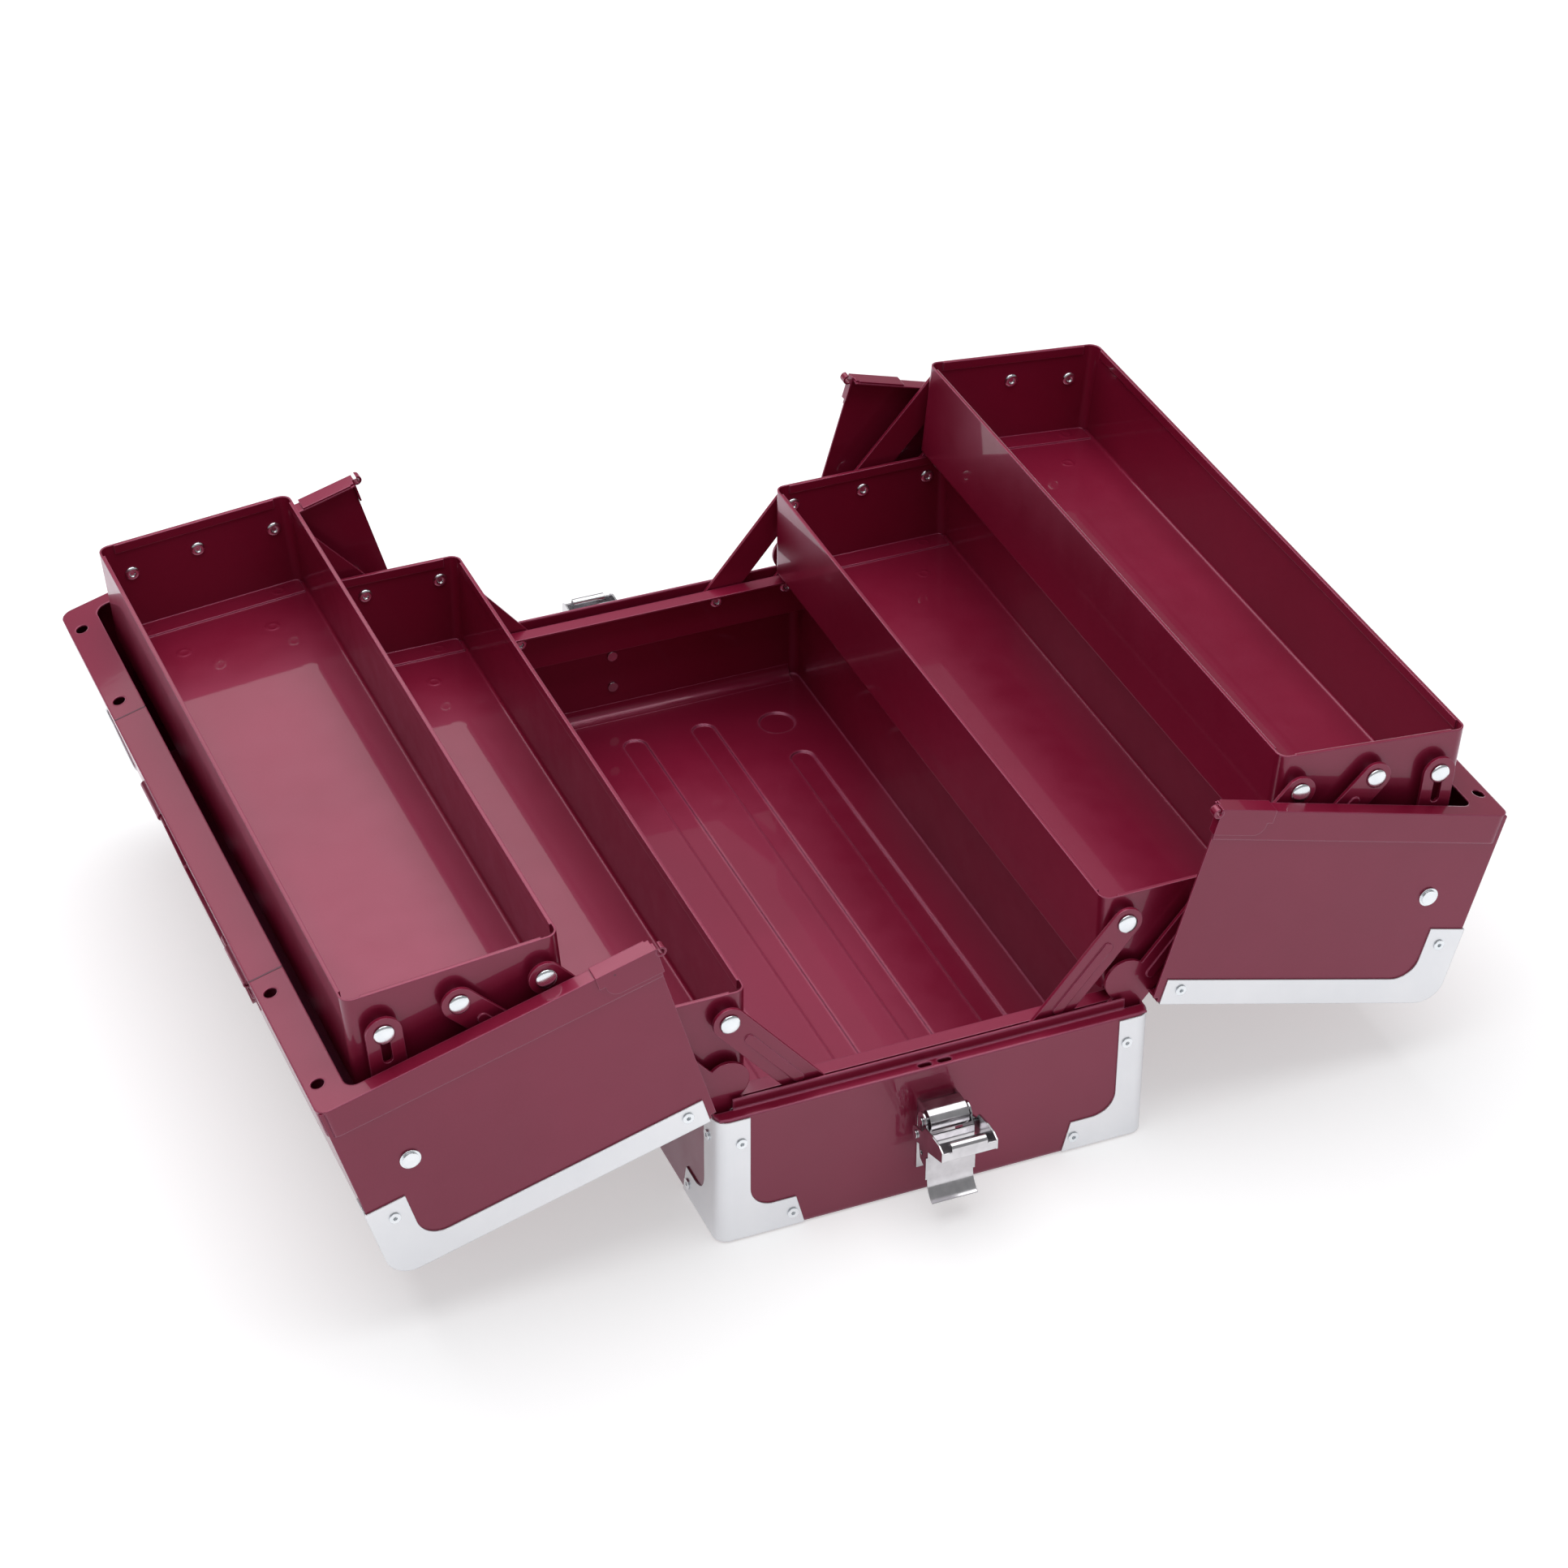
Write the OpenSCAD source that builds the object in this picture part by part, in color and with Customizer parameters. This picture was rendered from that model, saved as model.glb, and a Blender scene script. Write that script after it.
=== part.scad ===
// Cantilever tool box in sheet steel: a base case, two hinged lids and four
// trays carried on riveted levers, drawn fully open.
// X runs across the box, Y along it, Z up. The origin is the centre of the
// base's footprint, at the level that the pressed floor ribs stand on.

/* [Case] */
// Width of the base case
case_w = 220; // [200:1:260]
// Length of the base case
case_l = 430; // [360:1:480]
// Height of the base's end rim
case_h = 73.4; // [70:0.2:76]
// Corner radius of the case in plan
case_r = 6; // [4:0.5:10]
// Thickness of the case and lid sheet
sheet = 1; // [0.7:0.1:1.2]
// Depth of the pressed ribs and feet under the floor
rib_drop = 1; // [0.6:0.1:2]
// Width of a floor rib
rib_w = 15; // [10:0.5:20]
// Distance between floor ribs
rib_pitch = 40; // [30:1:44]
// Number of floor ribs, an odd number
rib_count = 5; // [3:2:5]
// Length of the long ribs
rib_l = 374; // [300:2:380]
// Length of the outer ribs, which end before the feet
rib_short_l = 286; // [200:2:300]
// Diameter of a pressed foot
foot_d = 22; // [16:1:26]
// Distance from the end of the case to a foot's centre
foot_in = 43; // [36:1:50]

/* [End rim] */
// Depth of the ledge that the closed lids cover
ledge_w = 6.5; // [5:0.5:7]
// Height of the upturned rail behind the ledge
rail_h = 5.6; // [4:0.2:6]
// Distance from the end of the rail to the case's side
rail_in = 10; // [8:1:20]
// Length of a drain slot in the ledge
slot_l = 7; // [5:0.5:9]
// Distance between the two drain slots
slot_pitch = 10; // [9:0.5:16]

/* [Lever bracket] */
// Height of the bracket that carries the levers in the base
bracket_h = 25; // [20:1:30]
// Width of the bracket's folded top
bracket_top_w = 8; // [6:0.5:10]
// Width of the welded tabs at the bracket's ends
bracket_tab_w = 12; // [8:1:16]

/* [Trays] */
// Distance of a shut tray from the case's side
tray_side_in = 7; // [6:0.5:12]
// Distance of a tray's end from the case's end
tray_end_in = 14.6; // [14:0.1:20]
// Depth of a tray
tray_h = 53; // [45:0.2:53]
// Corner radius of a tray in plan
tray_r = 5.5; // [4:0.5:8]
// Radius of the folds along a tray's floor
tray_fold_r = 2.5; // [1.5:0.5:4]
// Thickness of the tray sheet
tray_sheet = 0.9; // [0.7:0.1:1.2]
// Height of the folded hem round a tray's rim
hem_h = 5; // [3:0.5:7]
// Thickness of the hem, fold and wall together
hem_t = 1.9; // [1.6:0.1:2.4]
// Width of the end panels' flanges on a tray's floor
tray_flange_w = 12; // [8:1:16]
// Gap between a shut tray and the middle of the box
tray_gap = 2; // [1.5:0.1:4]

/* [Levers] */
// Slope of the levers when the box is open
lever_open = 50.2; // [48:0.1:54]
// Length of the lower levers between rivets
lever_len = 68.4; // [67:0.1:70]
// Height of the levers' rivets in the base
pivot_z = 69; // [68:0.1:70]
// Distance of the long levers' rivets from the case's side
pivot_in = 12.6; // [12.5:0.1:14]
// Length of the long lever above the lower tray's rivet
upper_len = 69.3; // [68:0.1:71]
// Slope of the long lever above that rivet
upper_open = 48.2; // [46.5:0.1:49]
// Spacing of the short upper lever's rivet on the lower tray
upper_pitch = 38; // [36:0.1:40]
// Width of a lever
lever_w = 16; // [14:0.2:16.4]
// Thickness of a lever
lever_t = 1.8; // [1.2:0.1:2]
// Gap between a tray's end and the levers
lever_gap = 3.6; // [3:0.1:4]
// Radius of the stop lobe on the long lever
lobe_r = 11; // [9:0.5:11.5]
// Height of the stiffening bead on a lever
bead_h = 0.7; // [0.4:0.1:0.8]
// Width of the stiffening bead
bead_w = 5; // [3:0.5:7]

/* [Rivet places on the trays] */
// Distance of the first rivet from a lower tray's inner side
t_in = 10.7; // [9:0.1:12]
// Depth of the lower tray's rivets below the rim
t_drop = 12.65; // [11:0.05:15]
// Distance of the first rivet from an upper tray's inner side
u_in = 10.4; // [9.8:0.1:11]
// Depth of the first rivet below the upper tray's rim
u_drop = 17.5; // [16:0.1:19]
// Distance of the middle rivet from the upper tray's inner side
u_mid = 50.9; // [50:0.1:52]
// Depth of the middle rivet below the upper tray's rim
u_mid_drop = 16.2; // [15:0.1:17]
// Distance of the lid link's rivet from the upper tray's outer side
u_rim = 14.8; // [13:0.1:16]
// Depth of the lid link's rivet below the upper tray's rim
u_out_drop = 19.4; // [18:0.1:21]
// Outward tilt of the upper trays when the box is open
tray_tilt = 5.27; // [4:0.01:6]

/* [Rivets] */
// Diameter of a pivot rivet's shank
rivet_d = 4.4; // [3:0.1:5]
// Diameter of a pivot rivet's head
rivet_head_d = 10; // [8:0.2:11]
// Height of a pivot rivet's head
rivet_head_h = 1.8; // [1.2:0.1:1.9]
// Running clearance round a pivot, on the radius
pivot_clear = 0.08; // [0.03:0.01:0.1]
// Clearance round the upper lever's loose end, on the radius
loose_clear = 0.9; // [0.8:0.1:1.2]
// Diameter of the small hollow rivets in the corner trims
trim_rivet_d = 5.6; // [4:0.2:7]

/* [Lids] */
// Height of a lid above its hinge when shut
lid_h = 162.9; // [160:0.1:170]
// Distance of a shut lid's edge from the middle of the box
lid_seam = 3; // [2:0.1:5]
// Radius of a lid's long outer edge
lid_r = 12; // [8:0.5:15]
// Angle that a lid opens from shut
lid_open = 106.12; // [100:0.01:108]
// Depth of the seam frame over the lid's sides
frame_h = 16; // [12:0.5:20]
// Thickness of the seam frame
frame_t = 0.9; // [0.7:0.1:1.2]
// Width of the seam frame's flange along the box
frame_w = 16; // [12:0.5:18]
// Width of the seam frame's flange at the lid's ends
frame_end_w = 8; // [6:0.5:8]
// Diameter of the holes in the seam frame
frame_hole_d = 6.4; // [4:0.2:8]
// Distance of the outer holes from the lid's end
frame_hole_in = 18.9; // [12:0.1:24]
// Distance from an outer hole to the next
frame_hole_pitch = 70; // [40:1:90]
// Distance of the holes from the lid's outer edge
frame_hole_drop = 5.6; // [4:0.1:8]

/* [Catches] */
// Width of a catch along the lid's end
catch_w = 13; // [10:0.5:15]
// Height of a catch's plate
catch_h = 26; // [20:0.5:30]
// Height of a catch's folded edge
catch_edge_h = 29; // [22:0.5:34]
// Width of the folded edge's strip
catch_strip_w = 6; // [4:0.5:8]
// Radius of a catch's hook
catch_hook_r = 2.6; // [2:0.1:3.2]

/* [Lid links] */
// Distance of the link's rivet from the hinge, up the lid
link_up = 134.9; // [132:0.1:137]
// Distance of the link's rivet from the lid's hinge side
link_in = 62; // [60:0.1:64]
// Width of a link
link_w = 17; // [14:0.5:20]
// Free length of the slot behind the tray's rivet
link_slot = 14; // [8:0.5:16]

/* [Hinges] */
// Height of the hinge wires
hinge_z = 78.6; // [78:0.1:79.4]
// Distance of the hinge wire outside the case's side
hinge_out = 0.5; // [0.3:0.1:0.8]
// Diameter of the hinge wire
wire_d = 2.4; // [2:0.1:2.6]
// Outer diameter of the rolled knuckles
knuckle_d = 4.6; // [4.4:0.1:5]
// Number of knuckles on a hinge, an odd number
knuckle_n = 9; // [5:2:15]
// Gap between neighbouring knuckles
knuckle_gap = 0.4; // [0.3:0.1:1]

/* [Corner trims] */
// Thickness of the aluminium trims
trim_t = 0.8; // [0.5:0.1:0.9]
// Width of a trim's upright leg
trim_w = 16.6; // [14:0.2:20]
// Reach of a base trim's foot along the case
trim_reach = 44; // [36:1:50]
// Height of a base trim's foot
trim_foot_h = 16.6; // [14:0.2:20]
// Radius of a trim's inner corner
trim_r = 12; // [8:0.5:15]
// Slant of the foot's end
trim_slant = 4.3; // [2:0.1:8]
// Width of a lid trim along the hinge side
lid_trim_w = 13.6; // [11:0.2:16]
// Width of a lid trim's leg along the top
lid_trim_leg_w = 19; // [15:0.5:22]
// Reach of a lid trim's leg along the top
lid_trim_reach = 43; // [36:0.5:48]
// Width of a lid trim's fold round the corner
lid_trim_fold = 12; // [8:0.5:16]

/* [Latches] */
// Width of the latch plate and its hood
latch_w = 19.6; // [16:0.2:22]
// Thickness of the latch's sheet
latch_t = 0.9; // [0.7:0.1:1]
// Radius of the rounded hood over the lever's pin
hood_r = 6.2; // [5.8:0.1:6.6]
// Height of the lever's pin
lever_pin_z = 51.5; // [49:0.5:54]
// Distance of the lever's pin from the case
lever_pin_out = 10; // [9.5:0.1:11]
// Depth of the claw's pin below the lever's pin
claw_pin_drop = 7.5; // [7.2:0.1:9]
// Distance of the claw's pin inward of the lever's pin
claw_pin_back = 1; // [0.5:0.1:2]
// Reach of the claw from the case
claw_reach = 38; // [34:0.5:40]
// Rise of the claw's front edge above its pin
claw_rise = 4.6; // [3:0.1:6]
// Width of the claw's rolled lip
lip_w = 18; // [12:0.5:20]
// Height of the lever tongue's tip above the ground
tongue_z = 12; // [8:0.5:15]
// Diameter of the latch's pins
latch_pin_d = 2.6; // [2:0.1:3]

/* [Handles] */
// Length of a handle between the middles of its legs
handle_l = 104; // [90:1:120]
// Reach of a handle from its pivot
handle_reach = 42; // [36:1:48]
// Thickness of the handle's flat steel
handle_t = 2; // [1.6:0.1:2]
// Width of a handle's legs
handle_leg_w = 8; // [6:0.5:12]
// Width of a handle's grip
grip_w = 16; // [12:0.5:20]
// Diameter of a handle's pivot ends
handle_d = 2.2; // [2.2:0.1:3]
// Gap between the lid and a folded handle
handle_gap = 0.15; // [0.1:0.05:0.5]
// Distance of the handle's pivot from the seam
handle_in = 22; // [20:1:30]
// Length of a handle bracket
handle_bracket_l = 30; // [20:1:36]
// Width of a handle bracket on the lid
handle_bracket_w = 24; // [20:0.5:30]
// Thickness of a handle bracket
handle_bracket_t = 0.9; // [0.6:0.1:1.2]
// Gap along the pivot between a handle's leg and its brackets
handle_play = 0.6; // [0.3:0.1:1]

/* [Hidden] */
$fn = 48;

// Colours of the paint, the bare trims and the bright metal
paint = "#6e2038";
silver = "#d8dade";
bright = "#b9bcc2";

// Small gap that keeps separate pieces of one body apart
seat = 0.05;
// Gap that the cut edges keep from the long levers
relief = 0.6;
// Length added to a cut so that it passes through
over = 1;

// Places worked out for the right half of the open box, as [x, z]
floor_z = rib_drop;
hinge_x = case_w / 2 + hinge_out;
tray_w = case_w / 2 - tray_side_in - tray_gap;
tray_l = case_l - 2 * tray_end_in;
u_out = tray_w - u_rim;
lid_w = hinge_x - lid_seam;
front_base = [tray_gap + t_in + lever_len * cos(lever_open), pivot_z];
long_base = [case_w / 2 - pivot_in, pivot_z];
pivot_pitch = long_base[0] - front_base[0];
lever_arm = lever_len * [cos(lever_open), sin(lever_open)];
front_top = front_base + lever_arm;
long_mid = long_base + lever_arm;
upper_base = [long_mid[0] + upper_pitch, long_mid[1]];
long_top = long_mid + upper_len * [cos(upper_open), sin(upper_open)];
lower_corner = [front_top[0] - t_in, front_top[1] + t_drop];
upper_corner = long_top - tilted([u_in, -u_drop]);
upper_top = upper_corner + tilted([u_mid, -u_mid_drop]);
link_top = upper_corner + tilted([u_out, -u_out_drop]);
link_low = [hinge_x, hinge_z] + lid_point([hinge_out - link_in, link_up]);

// Layers along Y, from the tray's end outward
tray_end = tray_l / 2;
lever_y = tray_end + lever_gap;
lever_out = lever_y + lever_t;
bracket_y = tray_end + 1.6;
bracket_z = hinge_z - knuckle_d / 2 - 0.3;
lid_l = case_l + 2 * (sheet - 0.1);
lid_in_y = lid_l / 2 - sheet;

function tilted(p) = [
    p[0] * cos(tray_tilt) + p[1] * sin(tray_tilt),
    -p[0] * sin(tray_tilt) + p[1] * cos(tray_tilt)
];
// A point of the shut lid, from its hinge, turned to the open pose
function lid_point(p) = [
    p[0] * cos(lid_open) + p[1] * sin(lid_open),
    -p[0] * sin(lid_open) + p[1] * cos(lid_open)
];
function slope(p, q) = atan2(q[1] - p[1], q[0] - p[0]);

// Rectangle with round corners, centred
module round_rect(w, l, r) {
    square([w - 2 * r, l], center = true);
    square([w, l - 2 * r], center = true);
    for (x = [-1, 1], y = [-1, 1])
        translate([x * (w / 2 - r), y * (l / 2 - r)]) circle(r);
}

// Flat bar with round ends from p to q
module bar(p, q, w) {
    translate(p) rotate(slope(p, q)) {
        circle(w / 2);
        translate([norm(q - p), 0]) circle(w / 2);
        translate([0, -w / 2]) square([norm(q - p), w]);
    }
}

// A shape drawn in X and Z, given the thickness t outward from y
module upright(y, t) {
    translate([0, y + t, 0]) rotate([90, 0, 0]) linear_extrude(t) children();
}

// A cylinder along Y from y, at the place p
module peg(p, y, l, d) {
    upright(y, l) translate(p) circle(d / 2);
}

// The same thing at both ends of the box
module both_ends() {
    for (side = [0, 1]) mirror([0, side, 0]) children();
}

// One end of the box, 1 for the far end
module at_end(far) {
    mirror([0, 1 - far, 0]) children();
}

// One side of the box, 1 for the left
module at_side(left) {
    mirror([left, 0, 0]) children();
}

// The shut lid's frame of reference turned to the open pose
module lid_place() {
    translate([hinge_x, 0, hinge_z]) rotate([0, lid_open, 0]) children();
}

// Room that walls and trims leave where the long levers lie on them
module lever_relief() {
    both_ends() upright(lever_y - relief, lever_t + 2 * relief) bar(long_base, long_mid, lever_w + 2 * relief);
}

module floor_ribs(w, z, t) {
    half = (rib_count - 1) / 2;
    for (i = [-half : half]) {
        l = abs(i) == half ? rib_short_l : rib_l;
        translate([i * rib_pitch, 0, z]) linear_extrude(t) round_rect(w, l + w - rib_w, w / 2 - seat);
    }
    for (x = [-1, 1], y = [-1, 1])
        translate([x * half * rib_pitch, y * (case_l / 2 - foot_in), z])
            cylinder(t, d = foot_d + w - rib_w);
}

// Places of the knuckles along a hinge: even ones on the base, odd ones on the lid
knuckle_span = 2 * (lever_y - 1);
knuckle_pitch = knuckle_span / knuckle_n;
function knuckle_y(i) = -knuckle_span / 2 + i * knuckle_pitch;

module knuckles(first) {
    for (i = [first : 2 : knuckle_n - 1])
        translate([0, knuckle_y(i) + knuckle_pitch - knuckle_gap / 2, 0]) rotate([90, 0, 0])
            cylinder(knuckle_pitch - knuckle_gap, d = knuckle_d);
}

// Room for the other leaf's knuckles and for the ends past the last knuckle
module knuckle_cuts(first) {
    r = knuckle_d / 2 + knuckle_gap;
    for (i = [first : 2 : knuckle_n - 1])
        translate([-r, knuckle_y(i) - knuckle_gap / 2, -r]) cube([2 * r, knuckle_pitch + knuckle_gap, 2 * r]);
    for (s = [-1, 1])
        translate([-r, s * (knuckle_span / 2 + case_l / 2) - case_l / 2 - knuckle_gap / 2, -r])
            cube([2 * r, case_l + knuckle_gap, 2 * r]);
}

module wire_bore() {
    rotate([90, 0, 0]) cylinder(case_l + 2 * over, r = wire_d / 2 + pivot_clear, center = true);
}

module ledge() {
    inner = case_l / 2 - ledge_w;
    side = case_w / 2 - sheet;
    difference() {
        translate([-side, inner, case_h - sheet]) cube([2 * side, ledge_w - sheet / 2, sheet]);
        for (s = [-1, 1]) translate([s * slot_pitch / 2, inner + ledge_w / 2, case_h - sheet - over])
            linear_extrude(sheet + 2 * over) bar([-slot_l / 2 + 1.5, 0], [slot_l / 2 - 1.5, 0], 3);
    }
    translate([rail_in - case_w / 2, inner - sheet, case_h - sheet])
        cube([case_w - 2 * rail_in, sheet, rail_h + sheet]);
}

module base_case() color(paint) difference() {
    union() {
        difference() {
            translate([0, 0, floor_z]) linear_extrude(case_h - floor_z) round_rect(case_w, case_l, case_r);
            translate([0, 0, floor_z + sheet]) linear_extrude(case_h)
                round_rect(case_w - 2 * sheet, case_l - 2 * sheet, case_r - sheet);
        }
        floor_ribs(rib_w, 0, rib_drop + sheet / 2);
        both_ends() ledge();
        for (left = [0, 1]) at_side(left) {
            difference() {
                translate([case_w / 2 - sheet, -knuckle_span / 2, case_h - over])
                    cube([sheet, knuckle_span, hinge_z - case_h + over]);
                translate([hinge_x, 0, hinge_z]) knuckle_cuts(1);
            }
            translate([hinge_x, 0, hinge_z]) knuckles(0);
        }
    }
    floor_ribs(rib_w - 2 * sheet, rib_drop, sheet + over);
    for (left = [0, 1]) at_side(left) {
        translate([hinge_x, 0, hinge_z]) wire_bore();
        lever_relief();
    }
    for (far = [0, 1]) at_end(far) base_rivet_holes();
}

// Holes in the end panel for the latch plate's rivets
module base_rivet_holes() {
    for (z = latch_rivet_z) peg([0, z], case_l / 2 - sheet - over, sheet + 2 * over, latch_rivet_d + 2 * seat);
}

module lever_bracket(far) color(paint) at_end(far) {
    x = case_w / 2 - sheet - seat;
    difference() {
        union() {
            translate([-x, bracket_y, bracket_z - bracket_h]) cube([2 * x, sheet, bracket_h]);
            translate([-x, bracket_y + sheet - bracket_top_w, bracket_z - sheet])
                cube([2 * x, bracket_top_w, sheet]);
            for (s = [-1, 1]) translate([s * (x - sheet / 2) - sheet / 2, bracket_y + sheet - bracket_tab_w,
                bracket_z - bracket_h]) cube([sheet, bracket_tab_w, bracket_h]);
        }
        for (s = [-1, 1], p = [front_base, long_base])
            peg([s * p[0], p[1]], bracket_y - over, sheet + 2 * over, rivet_d + 2 * seat);
    }
}

// A pivot rivet: tail behind the wall at y, shoulder, shank through the lever and head
module pivot_rivet(p, y, t, head_d, head_h) {
    difference() {
        union() {
            peg(p, y - t - seat - 1.2, 1.2, rivet_d + 3.2);
            peg(p, y - t - seat - 0.6, lever_out + 0.2 - (y - t - seat - 0.6), rivet_d);
            peg(p, y + seat, lever_y - 0.15 - y - seat, rivet_d + 3.6);
            peg(p, lever_out + 0.2, head_h * 0.45, head_d);
            peg(p, lever_out + 0.2, head_h, head_d * 0.8);
        }
        peg(p, y - t - 2.2, 1.6, rivet_d - 1.6);
        peg(p, lever_out + 0.2 + head_h * 0.75, head_h, head_d * 0.5);
    }
}

module base_pivot_rivets() color(bright) both_ends()
    for (s = [-1, 1], p = [front_base, long_base])
        pivot_rivet([s * p[0], p[1]], bracket_y + sheet, sheet, rivet_head_d - 1.4, 1.1);

module hinge_wires() color(bright)
    for (s = [-1, 1]) translate([s * hinge_x, 0, hinge_z]) rotate([90, 0, 0])
        cylinder(knuckle_span - 2 * knuckle_gap, d = wire_d, center = true);

// Outline of a base trim on one face: u runs from the corner, v up
module trim_outline(top) {
    difference() {
        union() {
            square([trim_w, top]);
            square([trim_reach, trim_foot_h]);
            square([trim_w + trim_r, trim_foot_h + trim_r]);
        }
        translate([trim_w + trim_r, trim_foot_h + trim_r]) circle(trim_r);
        translate([trim_w + trim_r, trim_foot_h]) square([trim_reach, top]);
        translate([trim_reach, 0]) rotate(atan2(trim_foot_h, -trim_slant) - 90)
            square([trim_slant + over, 2 * trim_foot_h]);
    }
}

module base_corner_trim() {
    top = case_h - floor_z - 1.3;
    intersection() {
        difference() {
            translate([0, 0, floor_z]) linear_extrude(top)
                round_rect(case_w + 2 * trim_t, case_l + 2 * trim_t, case_r + trim_t);
            translate([0, 0, floor_z - over]) linear_extrude(top + 2 * over)
                round_rect(case_w + 2 * seat, case_l + 2 * seat, case_r + seat);
        }
        union() {
            translate([case_w / 2, case_l / 2 + 2 * trim_t, floor_z]) rotate([90, 0, 0])
                linear_extrude(case_r + 3 * trim_t) mirror([1, 0]) translate([-trim_t, 0]) trim_outline(top);
            translate([case_w / 2 - case_r - trim_t, case_l / 2, floor_z]) rotate([90, 0, 90])
                linear_extrude(case_r + 3 * trim_t) mirror([1, 0]) translate([-trim_t, 0]) trim_outline(top);
        }
    }
}

// Where the small rivets sit on a base trim, from its corner
trim_rivets = [[11.4, 57.3], [37.2, 7.5]];

module base_corner_trims() color(silver) difference() {
    for (left = [0, 1], far = [0, 1]) at_side(left) at_end(far) base_corner_trim();
    for (left = [0, 1]) at_side(left) lever_relief();
    for (left = [0, 1], far = [0, 1], p = trim_rivets) at_side(left) at_end(far) {
        translate([case_w / 2 - p[0], case_l / 2, floor_z + p[1]]) rotate([90, 0, 0])
            cylinder(3 * trim_t, d = trim_rivet_d - 2, center = true);
        translate([case_w / 2, case_l / 2 - p[0], floor_z + p[1]]) rotate([0, 90, 0])
            cylinder(3 * trim_t, d = trim_rivet_d - 2, center = true);
    }
}

// Hollow rivet with its flange at z = 0 and its stem below
module hollow_rivet(stem) {
    difference() {
        union() {
            translate([0, 0, seat]) cylinder(0.7, d = trim_rivet_d);
            translate([0, 0, -stem]) cylinder(stem + 0.4, d = trim_rivet_d - 2 - 2 * seat);
        }
        translate([0, 0, -0.3]) cylinder(2, d = trim_rivet_d - 3.6);
    }
}

module base_trim_rivets() color(silver)
    for (left = [0, 1], far = [0, 1], p = trim_rivets) at_side(left) at_end(far) {
        translate([case_w / 2 - p[0], case_l / 2 + trim_t, floor_z + p[1]]) rotate([-90, 0, 0])
            hollow_rivet(trim_t - 2 * seat);
        translate([case_w / 2 + trim_t, case_l / 2 - p[0], floor_z + p[1]]) rotate([0, 90, 0])
            hollow_rivet(trim_t - 2 * seat);
    }

// Latch, drawn at the far end with Y outward from the case's end face
latch_rivet_z = [20, 40];
latch_rivet_d = 4;
hood_x = latch_w / 2;
ear_x = hood_x + latch_t + 0.2;
claw_x = ear_x + latch_t + 1.5;
lever_pin = [lever_pin_out, lever_pin_z];
claw_pin = [lever_pin_out - claw_pin_back, lever_pin_z - claw_pin_drop];
web_out = lever_pin_out + hood_r + 0.6 + latch_t;
claw_front = [claw_reach, claw_pin[1] + claw_rise];
claw_back = [web_out + 1.6, claw_pin[1] - 1.2];

module latch_place(far) {
    at_end(far) translate([0, case_l / 2, 0]) children();
}

// A shape in Y and Z, given the width w about the middle of the latch
module across(w) {
    rotate([90, 0, 90]) linear_extrude(w, center = true) children();
}

// A side wall of the latch on both sides at x, latch_t thick
module side_pair(x) {
    for (s = [0, 1]) mirror([s, 0, 0]) translate([x, 0, 0])
        rotate([90, 0, 90]) linear_extrude(latch_t) children();
}

// Plate with its top folded forward as a hood between two ears
module latch_plate(far) color(bright) latch_place(far) difference() {
    top = lever_pin_z + hood_r;
    union() {
        translate([-hood_x, seat, tongue_z + 4]) cube([2 * hood_x, latch_t, top - tongue_z - 7]);
        side_pair(hood_x - latch_t) {
            translate(lever_pin) circle(hood_r - latch_t / 2);
            translate([seat, lever_pin_z - 4]) square([lever_pin_out, hood_r + 4 - latch_t / 2]);
        }
        across(2 * hood_x) difference() {
            union() {
                translate(lever_pin) circle(hood_r);
                translate([4, top - latch_t]) square([lever_pin_out - 4, latch_t]);
            }
            translate(lever_pin) circle(hood_r - latch_t);
            translate([4, top - hood_r * 2]) square([lever_pin_out - 4, 2 * hood_r - latch_t]);
            translate([-10, top - hood_r * 2]) square([14, 3 * hood_r]);
            translate([0, lever_pin_z - 2 * hood_r - 1.3]) square([4 * hood_r, 2 * hood_r]);
        }
    }
    for (z = latch_rivet_z) peg([0, z], -over, latch_t + 2 * over, latch_rivet_d + 2 * seat);
    across(3 * latch_w) translate(lever_pin) circle(latch_pin_d / 2 + seat);
}

// The lever turns on the ears' pin, carries the claw's pin and ends in a finger tongue
module latch_lever(far) color(bright) latch_place(far) difference() {
    web_top = claw_pin[1] + 4;
    step_z = tongue_z + 10;
    union() {
        side_pair(ear_x) {
            translate(lever_pin) circle(4.8);
            translate(claw_pin) circle(3.4);
            polygon([lever_pin + [-4.8, 0], claw_pin + [-3.4, 0], [lever_pin_out - 1, step_z + 7],
                [web_out, step_z + 3], [web_out, web_top], lever_pin + [4.8, 0]]);
        }
        translate([0, web_out - latch_t, 0]) upright(0, latch_t) {
            translate([-ear_x - latch_t, step_z]) square([2 * (ear_x + latch_t), web_top - step_z]);
            translate([-ear_x - latch_t - 0.9, step_z]) square([2 * (ear_x + latch_t + 0.9), 13]);
        }
        across(2 * (ear_x + latch_t)) intersection() {
            difference() {
                translate([web_out + 11, step_z]) circle(11 + latch_t);
                translate([web_out + 11, step_z]) circle(11);
            }
            translate([web_out - 2, tongue_z]) square([10, step_z - tongue_z + 0.1]);
        }
    }
    for (p = [lever_pin, claw_pin])
        across(3 * latch_w) translate(p) circle(latch_pin_d / 2 + pivot_clear);
    across(3 * latch_w) translate([lever_pin_out + 0.6, step_z + 11]) circle(1.3);
}

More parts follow.
